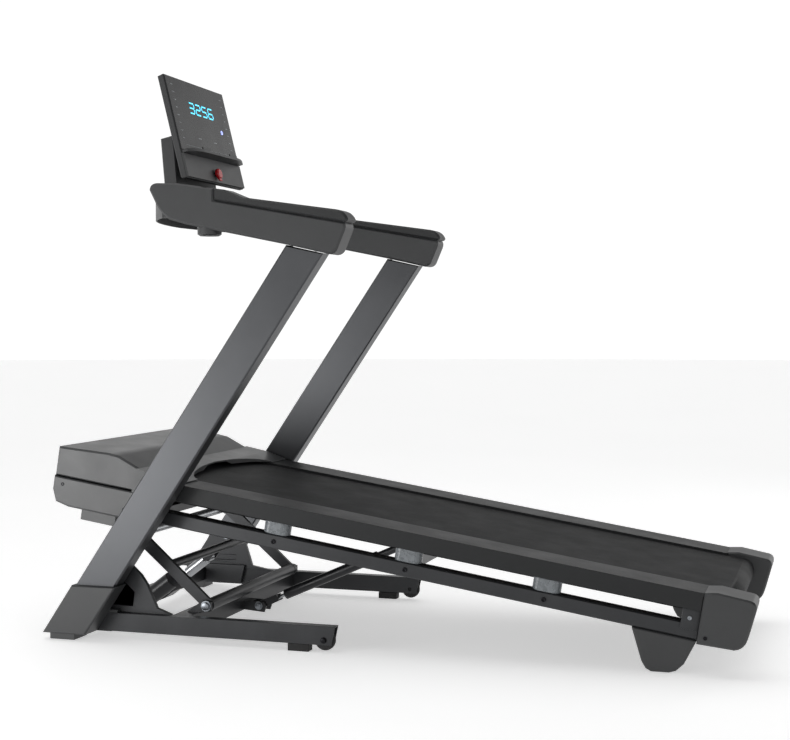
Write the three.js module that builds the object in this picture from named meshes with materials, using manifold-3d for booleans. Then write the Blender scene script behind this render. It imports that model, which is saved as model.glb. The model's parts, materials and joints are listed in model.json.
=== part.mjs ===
// A folding home treadmill, in millimetres, +Z up. +X runs from the motor hood towards the tail,
// +Y is the runner's right. It stands raised to its steepest slope, with the deck unfolded.
import * as THREE from 'three';
import { mergeVertices } from 'three/addons/utils/BufferGeometryUtils.js';
import Module from 'manifold-3d';

const wasm = await Module();
wasm.setup();

// ---- driving sizes -------------------------------------------------------------------------
const gap = 0.3; // between pieces that touch
const slip = 1; // between pieces that move past each other
const deckSlope = THREE.MathUtils.degToRad(8.9);

const uprightWide = 50; // across the machine
const uprightDeep = 111.3; // along the floor
const uprightFootX = -791.2; // front edge carried down to the floor
const uprightLean = 0.6731; // run towards the tail for each unit of height
const uprightFootZ = 24;

const railWide = 27;
const railTop = 66.7;
const railBottom = 19.4;
const railFrontX = -755;
const railRearX = -5;
const frontTubeX = [-716, -689];
const frontTubeBottom = 28;
const rearTubeX = [-454, -404];
const padX = [-131, -75];
const wheelX = -35;
const wheelZ = 31.7;
const wheelRadius = 27;
const wheelWide = 15;
const bootWall = 6;
const bootTop = 145;
const guideThick = 13;
const tubeWall = 2.5;
const shellWall = 3;

const beltWide = 508;
const beltThick = 2.5;
const deckTop = 164; // top of the foot rails above the fold pivot, square to the deck
const beltTop = 158;
const deckLength = 1472; // fold pivot to the front of the end caps
const beltClear = 3;
const footRailWide = 112;
const uprightClear = 16; // from a foot rail to the upright beside it
const footRailFront = 75;
const footRailDeep = 44;
const footRailSkin = 8;
const boardThick = 19;
const boardFront = 80;
const frameTubeInset = 27; // from the foot rail's outer face
const frameTubeWide = 40;
const frameTubeW = [47.5, 83.5];
const frameFront = -170;
const cushionSpacing = 351;
const cushionFirst = 400;
const cushionLength = 70;
const cushionWide = 40;
const rollerRadius = 28.5;
const frontRollerU = 20;
const rearRollerU = deckLength + 46;
const footBack = 86.57; // from the tail end of the frame tubes to the middle of a rear foot
const footLong = 156;
const capLength = 120;
const capTop = 171;
const capBottom = 44;
const rollerPulleyRadius = rollerRadius + 16.5;
const motorPulleyRadius = 15;
const motorRadius = 54;
const motorU = -122;
const motorW = 112;
const pulleyClear = 10; // from the belt's edge
const pulleyWide = 18;
const motorLong = 188;

const hoodInset = 17; // from the foot rail's outer face
const hoodWall = 3.5;
const hoodSplit = 120;
const hoodRear = 8;
const panInset = 14; // from the hood's side

const foldPivot = { x: -590, z: 262 };
const liftPivot = { x: -385, z: 84 };
const axleRadius = 12;
const liftArmThick = 12;
const liftTubeRadius = 16;
const liftPinRadius = 8;
const nutAlong = 150; // from the lift pivot, along the lift arm
const nutBelow = 30;
const motorPivot = { x: -662, z: 50 };
const motorPin = 6;
const strutPivot = { x: -357, z: 34 };
const strutTop = { x: 87, z: 231 };
const middleBarAfter = 36; // from the strut's top to the crossbar that takes it
const strutPin = 5;
const bracketHalf = 18; // between the strut bracket's cheeks
const yokeLength = 58;
const yokeDeep = 11;
const strutBodyFrom = 78;
const strutBodyTo = 372;
const rodLength = 370;
const strutRadius = 14;
const sleeveRadius = 10.5;
const rodRadius = 5;

const railOfHand = { inward: 7, outward: 11, frontX: -475, topZ: 1166, gripThick: 28 };
const cupX = -325;
const cupRadius = 33;
const cupWall = 2.5;
const displayHalf = 190;
const displayTall = 287;
const displayThick = 21;
const displayFoot = { x: -487, z: 1206 };
const displayLean = THREE.MathUtils.degToRad(14.1);
const mastHalf = 130;
const hingeHalf = 40;
const hingeBehind = 35; // from the glass back to the tilt pin
const hingeUp = 95; // the pin's height up the display
const hingeRadius = 8;
const hingePin = 3.5;

// ---- finishes ------------------------------------------------------------------------------
const finishes = {
  paint: [0x3a3c3e, 0.42, 0.35],
  plastic: [0x26282a, 0.55, 0],
  plasticLight: [0x3b3d40, 0.5, 0],
  gloss: [0x0b0c0e, 0.12, 0],
  rubber: [0x1b1c1d, 0.85, 0],
  grip: [0x222326, 0.7, 0],
  belt: [0x2a2b2c, 0.8, 0],
  steel: [0x8d9094, 0.3, 1],
  elastomer: [0x8f9396, 0.35, 0],
  board: [0x6b5138, 0.6, 0],
  red: [0xb3202a, 0.4, 0],
};
function finish(name) {
  const [color, roughness, metalness] = finishes[name];
  return new THREE.MeshStandardMaterial({ color, roughness, metalness });
}

// ---- shape helpers -------------------------------------------------------------------------
// A closed outline in X and Z (or along and square to the deck), made solid from y0 to y1.
function slab(points, y0, y1, bevel = 0) {
  const shape = points instanceof THREE.Shape
    ? points : new THREE.Shape(points.map(([x, z]) => new THREE.Vector2(x, z)));
  const low = Math.min(y0, y1);
  const high = Math.max(y0, y1);
  const geometry = new THREE.ExtrudeGeometry(shape, {
    depth: high - low - 2 * bevel, bevelEnabled: bevel > 0, bevelThickness: bevel,
    bevelSize: bevel, bevelOffset: -bevel, bevelSegments: 1, curveSegments: 6,
  });
  geometry.rotateX(Math.PI / 2);
  return geometry.translate(0, high - bevel, 0);
}
// A closed outline in X and Y, made solid from z0 up to z1.
function plate(points, z0, z1) {
  const shape = points instanceof THREE.Shape
    ? points : new THREE.Shape(points.map(([x, y]) => new THREE.Vector2(x, y)));
  const geometry = new THREE.ExtrudeGeometry(shape, {
    depth: z1 - z0, bevelEnabled: false, curveSegments: 8,
  });
  return geometry.translate(0, 0, z0);
}
function block(x0, x1, y0, y1, z0, z1) {
  const geometry = new THREE.BoxGeometry(x1 - x0, Math.abs(y1 - y0), z1 - z0);
  return geometry.translate((x0 + x1) / 2, (y0 + y1) / 2, (z0 + z1) / 2);
}
function roundBar(x, z, radius, y0, y1, sides = 20) {
  const geometry = new THREE.CylinderGeometry(radius, radius, Math.abs(y1 - y0), sides);
  return geometry.translate(x, (y0 + y1) / 2, z);
}
// A turned piece about the Y axis from [radius, y] points, closed on itself or on the axis.
function turned(x, z, profile, sides = 24) {
  const points = profile.map(([radius, y]) => new THREE.Vector2(radius, y));
  return new THREE.LatheGeometry(points, sides).translate(x, 0, z);
}
// The same about the local X axis, for pieces that lie along a strut.
function turnedAlong(profile, sides = 16) {
  const points = profile.map(([radius, x]) => new THREE.Vector2(radius, x));
  return new THREE.LatheGeometry(points, sides).rotateZ(-Math.PI / 2);
}
function tubeAlong(inner, outer, from, to, sides) {
  return turnedAlong([[inner, from], [outer, from], [outer, to], [inner, to], [inner, from]], sides);
}
function solid(geometry) {
  const bare = geometry.clone();
  bare.deleteAttribute('normal');
  bare.deleteAttribute('uv');
  const merged = mergeVertices(bare, 1e-4);
  return new wasm.Manifold(new wasm.Mesh({
    numProp: 3, vertProperties: merged.attributes.position.array,
    triVerts: Uint32Array.from(merged.index.array),
  }));
}
function toGeometry(body) {
  const mesh = body.getMesh();
  const geometry = new THREE.BufferGeometry();
  geometry.setAttribute('position', new THREE.BufferAttribute(mesh.vertProperties, 3));
  geometry.setIndex(new THREE.BufferAttribute(mesh.triVerts, 1));
  geometry.computeVertexNormals();
  return geometry;
}
function join(...pieces) {
  return toGeometry(pieces.map(solid).reduce((whole, piece) => whole.add(piece)));
}
function cut(geometry, ...tools) {
  return toGeometry(tools.map(solid).reduce((whole, tool) => whole.subtract(tool), solid(geometry)));
}
// A rectangular tube across the machine, open at both ends.
function hollowBar(x0, x1, half, z0, z1) {
  return cut(block(x0, x1, -half, half, z0, z1),
    block(x0 + tubeWall, x1 - tubeWall, -half - 5, half + 5, z0 + tubeWall, z1 - tubeWall));
}
function add(group, name, geometry, finishName) {
  const mesh = new THREE.Mesh(geometry, finish(finishName));
  mesh.name = name;
  group.add(mesh);
  return mesh;
}
// Runs make(side, sign) for the runner's left (-Y) and right (+Y).
function bothSides(make) {
  make('left', -1);
  make('right', 1);
}
// A rectangle with round corners, as a shape.
function roundRect(x0, x1, y0, y1, radius) {
  const shape = new THREE.Shape();
  shape.moveTo(x0 + radius, y0);
  shape.lineTo(x1 - radius, y0);
  shape.absarc(x1 - radius, y0 + radius, radius, -Math.PI / 2, 0);
  shape.lineTo(x1, y1 - radius);
  shape.absarc(x1 - radius, y1 - radius, radius, 0, Math.PI / 2);
  shape.lineTo(x0 + radius, y1);
  shape.absarc(x0 + radius, y1 - radius, radius, Math.PI / 2, Math.PI);
  shape.lineTo(x0, y0 + radius);
  shape.absarc(x0 + radius, y0 + radius, radius, Math.PI, 1.5 * Math.PI);
  return shape;
}

// ---- places worked out from the sizes -------------------------------------------------------
const footRailInnerY = beltWide / 2 + beltClear;
const footRailOuterY = footRailInnerY + footRailWide;
const frameTubeY = [footRailOuterY - frameTubeInset - frameTubeWide, footRailOuterY - frameTubeInset];
const liftArmY = [frameTubeY[0] - 4 - liftArmThick, frameTubeY[0] - 4];
const pulleyY = [beltWide / 2 + pulleyClear, beltWide / 2 + pulleyClear + pulleyWide];
const hoodHalf = footRailOuterY - hoodInset;
const panHalf = hoodHalf - panInset;
const uprightInnerY = footRailOuterY + uprightClear;
const uprightOuterY = uprightInnerY + uprightWide;
const handInnerY = uprightInnerY - railOfHand.inward;
const handOuterY = uprightOuterY + railOfHand.outward;
const railOuterY = uprightInnerY - slip;
const railInnerY = railOuterY - railWide;
const uprightX = (z) => uprightFootX + uprightLean * z;
const along = new THREE.Vector2(Math.cos(deckSlope), -Math.sin(deckSlope));
const square = new THREE.Vector2(Math.sin(deckSlope), Math.cos(deckSlope));
// The deck's own u and w of a point given in X and Z.
const toDeck = (x, z) => {
  const out = new THREE.Vector2(x - foldPivot.x, z - foldPivot.z);
  return [out.dot(along), out.dot(square)];
};
const guideInnerY = hoodHalf + 1.5;
const boardTop = beltTop - beltThick - gap;
const boardBottom = boardTop - boardThick;
const rollerW = beltTop - beltThick - gap - rollerRadius;
const handBottom = { x: -107, z: 1007, slope: -0.2245 };
const handBottomAt = (x) => handBottom.z + handBottom.slope * (x - handBottom.x);

const treadmill = new THREE.Group();
const machine = new THREE.Group();
treadmill.add(machine);

// ---- base: rails, cross tubes, pads, wheels ---------------------------------------------------
function makeBase() {
  bothSides((side, sign) => {
    const rail = slab([
      [railFrontX, railBottom], [railRearX - 10, railBottom], [railRearX, railTop], [railFrontX, railTop],
    ], sign * railInnerY, sign * railOuterY);
    const slot = wheelWide / 2 + 2;
    const middleY = sign * (railInnerY + railOuterY) / 2;
    const wheelSlot = block(wheelX - wheelRadius - 5, railRearX + 20, middleY - slot, middleY + slot,
      railBottom - 1, wheelZ + wheelRadius + 3);
    const pinHole = roundBar(wheelX, wheelZ, 5, sign * (railInnerY - 5), sign * (railOuterY + 5), 12);
    const bore = block(railFrontX - 5, railRearX + 5, sign * (railInnerY + tubeWall),
      sign * (railOuterY - tubeWall), railBottom + tubeWall, railTop - tubeWall);
    add(machine, `base_rail_${side}`, cut(rail, bore, wheelSlot, pinHole), 'paint');
    add(machine, `foot_pad_${side}`, block(padX[0], padX[1], sign * (railInnerY - 2),
      sign * (railOuterY - 1), 0, railBottom - gap), 'rubber');
    const half = wheelWide / 2;
    add(machine, `transport_wheel_${side}`, turned(wheelX, wheelZ, [
      [0, middleY - slot - 3], [4, middleY - slot - 3], [4, middleY - half],
      [wheelRadius - 3, middleY - half],
      [wheelRadius, middleY - half + 3], [wheelRadius, middleY + half - 3],
      [wheelRadius - 3, middleY + half], [4, middleY + half], [4, middleY + slot + 3],
      [0, middleY + slot + 3],
    ]), 'rubber');
  });
  const tubeHalf = railInnerY - gap;
  const motorLugs = [-1, 1].map((sign) => slab([
    [frontTubeX[1] - 12, railTop - 3], [frontTubeX[1] - 1, railTop - 30],
    [motorPivot.x + 10, motorPivot.z - 8],
    [motorPivot.x + 10, motorPivot.z + 8], [motorPivot.x - 4, motorPivot.z + 12],
  ], sign * 32, sign * 38));
  const motorPinBar = roundBar(motorPivot.x, motorPivot.z, motorPin, -36, 36, 16);
  add(machine, 'front_cross_tube', join(
    hollowBar(...frontTubeX, tubeHalf, frontTubeBottom, railTop), ...motorLugs, motorPinBar,
  ), 'paint');
  const lugs = [-1, 1].flatMap((sign) => [
    slab([
      [rearTubeX[0] + 12, railTop - 3], [rearTubeX[1] - 2, railTop - 3], [liftPivot.x + 14, liftPivot.z - 10],
      [liftPivot.x + 14, liftPivot.z + 10], [liftPivot.x - 10, liftPivot.z + 14],
    ], sign * (liftArmY[1] + 4), sign * (liftArmY[1] + 14)),
    roundBar(liftPivot.x, liftPivot.z, liftPinRadius - 0.5, sign * (liftArmY[0] - 8),
      sign * (liftArmY[1] + 10), 16),
  ]);
  const cheeks = [-1, 1].map((sign) => slab([
    [rearTubeX[1] - 4, 22], [strutPivot.x + 16, 17], [strutPivot.x + 22, strutPivot.z],
    [strutPivot.x + 16, 45], [rearTubeX[1] - 4, 45],
  ], sign * bracketHalf, sign * (bracketHalf + 6)));
  const web = block(rearTubeX[1] - 4, strutPivot.x - 22, -20, 20, 22, 45);
  add(machine, 'rear_cross_tube', join(
    hollowBar(...rearTubeX, tubeHalf, railBottom, railTop), ...lugs, ...cheeks, web,
  ), 'paint');
}

function makeGuideBrackets() {
  const lowerInner = railInnerY - gap - guideThick;
  const footZ = railTop + 0.6;
  const outlines = {
    left: [[-780, footZ], [-721, 100], [-680, 150], [-655, 192], [-570, 190], [-543, 166], [-526, 142],
      [-508, 104], [-498, 82], [-456, footZ]],
    right: [[-776, footZ], [-722, 98], [-689, 144], [-664, 190], [-576, 190], [-556, 140], [-536, 78],
      [-476, footZ]],
  };
  const openings = {
    left: [[-640, 84], [-566, 84], [-562, 122], [-592, 148], [-640, 148]],
    right: [[-684, 92], [-588, 92], [-588, 108], [-672, 108]],
  };
  const depths = { left: [-5, guideThick + 5], right: [-5, guideThick * 0.6] };
  bothSides((side, sign) => {
    const upper = slab(outlines[side], sign * guideInnerY, sign * (guideInnerY + guideThick));
    const lower = slab([
      [frontTubeX[1] + 3, 24], [-570, 24], [-556, footZ + 12], [frontTubeX[1] + 3, footZ + 12],
    ], sign * lowerInner, sign * (lowerInner + guideThick));
    const [from, to] = depths[side];
    const opening = slab(openings[side], sign * (guideInnerY + from), sign * (guideInnerY + to));
    add(machine, `guide_bracket_${side}`, cut(join(upper, lower), opening), 'plastic');
  });
}

// ---- uprights and the boots at their feet -------------------------------------------------------
function uprightOutline(bottom, grow) {
  const front = (z) => uprightX(z) - grow;
  const rear = (z) => uprightX(z) + uprightDeep + grow;
  const meet = (offset) => { // where a sloping edge meets the underside of the handrail
    const low = handBottom.z + handBottom.slope * (uprightFootX + offset - handBottom.x) - gap - 1;
    return low / (1 - handBottom.slope * uprightLean);
  };
  const frontTop = meet(-grow);
  const rearTop = meet(uprightDeep + grow);
  return [
    [front(bottom), bottom], [rear(bottom), bottom], [rear(rearTop), rearTop], [front(frontTop), frontTop],
  ];
}
function makeUprights() {
  bothSides((side, sign) => {
    const inside = [uprightFootZ - 20, handBottom.z + 60].map((z) => [uprightX(z) + tubeWall, z]);
    const far = [...inside].reverse().map(([x, z]) => [x + uprightDeep - 2 * tubeWall, z]);
    add(machine, `upright_${side}`, cut(
      slab(uprightOutline(uprightFootZ, 0), sign * uprightInnerY, sign * uprightOuterY, 4),
      slab([...inside, ...far], sign * (uprightInnerY + tubeWall), sign * (uprightOuterY - tubeWall)),
    ), 'paint');
    const bootFoot = 18;
    const wrap = (z, grow) => [uprightX(z) - grow, uprightX(z) + uprightDeep + grow];
    const [lowFront, lowRear] = wrap(bootFoot, bootWall);
    const [highFront, highRear] = wrap(bootTop, bootWall);
    const outer = slab([
      [lowFront, bootFoot], [lowRear, bootFoot], [highRear, bootTop], [highFront, bootTop],
    ], sign * (uprightInnerY - 6), sign * (uprightOuterY + 13), 4);
    const ledge = railTop + 8;
    const inner = slab([
      [lowFront + 12, bootFoot], [lowRear + 42, bootFoot], [lowRear + 60, ledge], [lowFront + 45, ledge],
    ], sign * (guideInnerY + guideThick + gap), sign * (uprightInnerY - 2));
    const sole = block(lowFront + 14, lowFront + 84, sign * (railInnerY + 8), sign * (uprightOuterY - 4),
      0, bootFoot + 2);
    const socket = slab(uprightOutline(uprightFootZ - gap, gap), sign * (uprightInnerY - gap),
      sign * (uprightOuterY + gap));
    const railSocket = block(railFrontX - gap, railRearX, sign * (railInnerY - gap),
      sign * (railOuterY + gap),
      railBottom - gap, railTop + gap);
    add(machine, `boot_${side}`, cut(join(outer, inner, sole), socket, railSocket), 'plastic');
  });
}

// ---- handrails, console bridge and cup holders -----------------------------------------------------
function makeHandrails() {
  const { frontX, topZ, gripThick } = railOfHand;
  const gripFront = -300;
  const seamFront = 1120;
  const tip = { x: 50, z: 1059 };
  bothSides((side, sign) => {
    const body = new THREE.Shape();
    body.moveTo(frontX, topZ - 17);
    body.quadraticCurveTo(frontX + 1, topZ - 1, frontX + 20, topZ);
    body.lineTo(-400, topZ - 2);
    body.lineTo(gripFront - gap, 1149);
    body.lineTo(gripFront - gap, seamFront);
    body.lineTo(-75, 1079 - gap);
    body.lineTo(tip.x - 9, tip.z - gap);
    body.quadraticCurveTo(tip.x - 2, tip.z - 8, tip.x - 10, tip.z - 25);
    body.lineTo(24, 996);
    body.quadraticCurveTo(18, 982, 2, handBottomAt(2));
    body.lineTo(-107, handBottomAt(-107));
    body.lineTo(-373, 1061);
    body.lineTo(-419, 1074);
    body.quadraticCurveTo(-436, 1082, -455, 1110);
    const rail = slab(body, sign * handInnerY, sign * handOuterY, 5);
    const cupY = sign * (handInnerY + handOuterY) / 2;
    const cupSeat = new THREE.CylinderGeometry(cupRadius - 2, cupRadius - 2, 300, 28)
      .rotateX(Math.PI / 2).translate(cupX, cupY, 1100);
    const bore = cut(rail, cupSeat);
    add(machine, `handrail_${side}`, bore, 'plastic');

    const grip = new THREE.Shape();
    grip.moveTo(gripFront, 1149);
    grip.lineTo(gripFront, seamFront + gap);
    grip.lineTo(-75, 1079);
    grip.lineTo(tip.x - 9, tip.z);
    grip.quadraticCurveTo(tip.x + 2, tip.z + 2, tip.x, tip.z + 9);
    grip.quadraticCurveTo(tip.x - 8, 1086, 21, 1090);
    grip.lineTo(-223, 1125);
    grip.lineTo(gripFront + gripThick, 1145);
    const pad = slab(grip, sign * handInnerY, sign * handOuterY, 5);
    const cupPassage = new THREE.CylinderGeometry(cupRadius + 3, cupRadius + 3, 60, 28)
      .rotateX(Math.PI / 2).translate(cupX, cupY, 1140);
    add(machine, `handrail_grip_${side}`, cut(pad, cupPassage), 'grip');

    const bottomZ = 1033;
    const cup = new THREE.LatheGeometry([
      [0, bottomZ], [cupRadius - 9, bottomZ], [cupRadius - 3, bottomZ + 4], [cupRadius - 2 - gap, 1130],
      [cupRadius - 2 - gap - cupWall, 1130], [cupRadius - 6 - cupWall, bottomZ + 5], [0, bottomZ + 4],
    ].map(([radius, z]) => new THREE.Vector2(radius, z)), 28).rotateX(Math.PI / 2);
    add(machine, `cup_holder_${side}`, cup.translate(cupX, cupY, 0), 'plastic');
  });
}

function displayHinge() {
  return {
    x: displayFoot.x - hingeBehind * Math.cos(displayLean) - hingeUp * Math.sin(displayLean),
    z: displayFoot.z - hingeBehind * Math.sin(displayLean) + hingeUp * Math.cos(displayLean),
  };
}
function makeConsoleBridge() {
  const half = handInnerY - gap;
  const bridge = new THREE.Shape();
  bridge.moveTo(-405, -half);
  bridge.lineTo(-405, half);
  bridge.lineTo(-472, half);
  bridge.quadraticCurveTo(-590, half * 0.66, -606, 0);
  bridge.quadraticCurveTo(-590, half * -0.66, -472, -half);
  const mastFoot = block(-596, -480, -mastHalf, mastHalf, 1150, 1184);
  const mast = slab([
    [-586, 1180], [-546, 1180], [-556, 1290], [-562, 1326], [-598, 1318],
  ], -mastHalf, mastHalf, 3);
  const hinge = displayHinge();
  const ears = [-1, 1].map((sign) => join(
    roundBar(hinge.x, hinge.z, hingeRadius, sign * (hingeHalf + slip), sign * (hingeHalf + 7)),
    slab([[hinge.x, hinge.z - 8], [hinge.x, hinge.z + 8], [-560, hinge.z + 16], [-560, hinge.z - 20]],
      sign * (hingeHalf + slip), sign * (hingeHalf + 7)),
  ));
  const pin = roundBar(hinge.x, hinge.z, hingePin, -hingeHalf - 4, hingeHalf + 4, 16);
  const inside = new THREE.Shape(bridge.getPoints(8).map((point) => new THREE.Vector2(
    point.x * 0.97 - 15, point.y * 0.98,
  )));
  const openBase = plate(inside, 1080, 1164 - shellWall);
  add(machine, 'console_bridge', join(cut(plate(bridge, 1084, 1164), openBase), mastFoot, mast, ...ears, pin),
    'plastic');
}

// ---- display on its tilt hinge ----------------------------------------------------------------
// In the display's own frame X is out of the screen, Z is up its face and 0 is the foot of the glass.
function makeDisplay() {
  const display = new THREE.Group();
  display.position.set(displayFoot.x, 0, displayFoot.z);
  display.rotation.y = -displayLean;
  machine.add(display);
  const lower = 68; // height of the panel below the screen
  const glassDeep = 3;
  const housing = slab([
    [-glassDeep - gap, 0], [-glassDeep - gap, displayTall], [-displayThick, displayTall - 2],
    [-displayThick, 5], [-displayThick + 6, 0],
  ], -displayHalf, displayHalf, 2);
  const lowerPanel = block(-glassDeep - 4, 2, -displayHalf + 1, displayHalf - 1, 2, lower - 1);
  const keyHole = new THREE.CylinderGeometry(7, 7, 14, 16).rotateZ(Math.PI / 2).translate(0, 0, 24);
  const knuckle = join(roundBar(-hingeBehind, hingeUp, hingeRadius, -hingeHalf, hingeHalf),
    block(-hingeBehind, -displayThick + 2, -hingeHalf, hingeHalf, hingeUp - 6, hingeUp + 6));
  const pinHole = roundBar(-hingeBehind, hingeUp, hingePin + gap, -hingeHalf - 5, hingeHalf + 5, 16);
  add(display, 'display_housing', cut(join(housing, lowerPanel, knuckle), keyHole, pinHole), 'plasticLight');
  add(display, 'display_screen', block(-glassDeep, 0, -displayHalf + 1, displayHalf - 1, lower + 10,
    displayTall - 2), 'gloss');
  const shelfDeep = 32;
  const shelf = new THREE.Shape();
  shelf.moveTo(-glassDeep, -displayHalf + 4);
  shelf.lineTo(shelfDeep - 18, -displayHalf + 4);
  shelf.quadraticCurveTo(shelfDeep, -displayHalf + 40, shelfDeep, -displayHalf + 90);
  shelf.lineTo(shelfDeep, displayHalf - 90);
  shelf.quadraticCurveTo(shelfDeep, displayHalf - 40, shelfDeep - 18, displayHalf - 4);
  shelf.lineTo(-glassDeep, displayHalf - 4);
  const stops = [-90, 90].map((y) => block(
    shelfDeep - 6, shelfDeep - 2, y - 24, y + 24, lower + 7, lower + 15,
  ));
  add(display, 'device_shelf', join(plate(shelf, lower, lower + 8), ...stops), 'plastic');
  add(display, 'safety_key', join(
    turnedAlong([[0, -2], [6, -2], [6, 6], [15, 6], [15, 13], [12, 16], [0, 16]], 20).translate(0, 0, 24),
    block(9, 13, -8, 8, 4, 24),
  ), 'red');
}

// ---- lift frame, its motor and the fold axle -----------------------------------------------------
const armReach = Math.hypot(foldPivot.x - liftPivot.x, foldPivot.z - liftPivot.z);
const armAngle = Math.atan2(foldPivot.z - liftPivot.z, foldPivot.x - liftPivot.x);
function makeLiftFrame() {
  const lift = new THREE.Group(); // X runs from the lift pivot to the fold pivot
  lift.position.set(liftPivot.x, 0, liftPivot.z);
  lift.rotation.y = -armAngle;
  machine.add(lift);
  const armHalf = 14;
  const arm = (sign) => join(
    slab([[0, -armHalf], [armReach, -armHalf - 2], [armReach, armHalf + 2], [0, armHalf]],
      sign * liftArmY[0], sign * liftArmY[1]),
    roundBar(armReach, 0, armHalf + 6, sign * liftArmY[0], sign * liftArmY[1]),
    roundBar(0, 0, armHalf + 3, sign * liftArmY[0], sign * liftArmY[1]),
  );
  const brace = roundBar(nutAlong, 0, 12, -liftArmY[0] - 2, liftArmY[0] + 2);
  const nutPlates = [-1, 1].map((sign) => slab([
    [nutAlong - 11, -4], [nutAlong + 11, -4], [nutAlong + 13, nutBelow], [nutAlong, nutBelow + 13],
    [nutAlong - 13, nutBelow],
  ], sign * 17, sign * 23));
  const frame = join(arm(-1), arm(1), roundBar(0, 0, liftTubeRadius, -liftArmY[0] - 2, liftArmY[0] + 2, 24),
    brace, ...nutPlates);
  const pinBore = roundBar(0, 0, liftPinRadius, -liftArmY[1] - 5, liftArmY[1] + 5, 20);
  const axleBore = roundBar(armReach, 0, axleRadius + 0.5, -liftArmY[1] - 5, liftArmY[1] + 5, 24);
  add(lift, 'lift_frame', cut(frame, pinBore, axleBore), 'paint');
  add(machine, 'fold_axle', roundBar(foldPivot.x, foldPivot.z, axleRadius, -frameTubeY[1] + 6,
    frameTubeY[1] - 6, 24), 'steel');
}
function nutPoint() {
  return {
    x: liftPivot.x + nutAlong * Math.cos(armAngle) - nutBelow * Math.sin(armAngle),
    z: liftPivot.z + nutAlong * Math.sin(armAngle) + nutBelow * Math.cos(armAngle),
  };
}
function makeInclineMotor() {
  const nut = nutPoint();
  const reach = Math.hypot(nut.x - motorPivot.x, nut.z - motorPivot.z);
  const motor = new THREE.Group(); // X runs along the screw
  motor.position.set(motorPivot.x, 0, motorPivot.z);
  motor.rotation.y = -Math.atan2(nut.z - motorPivot.z, nut.x - motorPivot.x);
  machine.add(motor);
  const boxEnd = 44;
  const tubeFrom = 102;
  const screwTip = 108;
  const screwRadius = 7;
  const tubeBore = screwRadius + 1.5;
  const gearbox = slab([[-14, -14], [10, -20], [boxEnd, -20], [boxEnd, 20], [10, 20], [-14, 14]], -30, 30, 2);
  const drive = roundBar(34, 0, 18, -70, -28);
  const can = tubeAlong(0, 24, 4, 92, 20).translate(0, -90, 0);
  const screw = turnedAlong([
    [0, boxEnd - 4], [screwRadius, boxEnd - 4], [screwRadius, screwTip], [0, screwTip],
  ]);
  const pinBore = roundBar(0, 0, motorPin + gap, -40, 40, 16);
  add(motor, 'incline_motor', cut(join(gearbox, drive, can, screw), pinBore), 'steel');
  const tubeEnd = reach - 14;
  const eye = cut(roundBar(reach, 0, 13, -15, 15), roundBar(reach, 0, motorPin, -20, 20, 12));
  add(motor, 'incline_tube', join(turnedAlong([
    [tubeBore, tubeFrom], [15, tubeFrom], [15, tubeEnd + 6], [0, tubeEnd + 6], [0, tubeEnd - 2],
    [tubeBore, tubeEnd - 2], [tubeBore, tubeFrom],
  ]), cut(eye, turnedAlong([[0, 80], [tubeBore, 80], [tubeBore, tubeEnd - 2], [0, tubeEnd - 2]]))), 'steel');
}

// ---- storage strut between the base bracket and the deck ------------------------------------------
function makeStrut() {
  const reach = Math.hypot(strutTop.x - strutPivot.x, strutTop.z - strutPivot.z);
  const strut = new THREE.Group(); // X runs up the strut
  strut.position.set(strutPivot.x, 0, strutPivot.z);
  strut.rotation.y = -Math.atan2(strutTop.z - strutPivot.z, strutTop.x - strutPivot.x);
  machine.add(strut);
  const pinHalf = bracketHalf + 10;
  const eyeHalf = 8;
  const yokeHalf = bracketHalf - 0.5;
  const yokeSides = [-1, 1].map((sign) => slab([
    [-yokeDeep, -4], [-4, -yokeDeep], [yokeLength, -yokeDeep + 2], [yokeLength, yokeDeep - 2], [-4, yokeDeep],
    [-yokeDeep, 4],
  ], sign * (eyeHalf + slip), sign * yokeHalf));
  add(strut, 'strut_yoke', join(roundBar(0, 0, strutPin, -yokeHalf, yokeHalf, 16), ...yokeSides), 'steel');
  add(strut, 'strut_rod', join(
    cut(roundBar(0, 0, yokeDeep, -eyeHalf, eyeHalf), roundBar(0, 0, strutPin + gap, -pinHalf, pinHalf, 16)),
    turnedAlong([[0, 9], [rodRadius, 9], [rodRadius, rodLength], [0, rodLength]]),
  ), 'steel');
  add(strut, 'strut_sleeve', tubeAlong(rodRadius + slip, sleeveRadius - 3.2, strutBodyFrom + 4,
    strutBodyTo - 20), 'steel');
  add(strut, 'strut_cylinder', tubeAlong(sleeveRadius, strutRadius, strutBodyFrom, strutBodyTo), 'paint');
  const headFrom = strutBodyTo - 26;
  add(strut, 'strut_head', join(
    tubeAlong(sleeveRadius - 2.6, sleeveRadius - 0.6, headFrom, reach - 12),
    roundBar(reach, 0, 12.5, -9, 9),
  ), 'steel');
}

// ---- walking deck -----------------------------------------------------------------------------
const deck = new THREE.Group(); // X runs along the deck from the fold pivot, Z square to it
deck.position.set(foldPivot.x, 0, foldPivot.z);
deck.rotation.y = deckSlope;
machine.add(deck);

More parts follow.
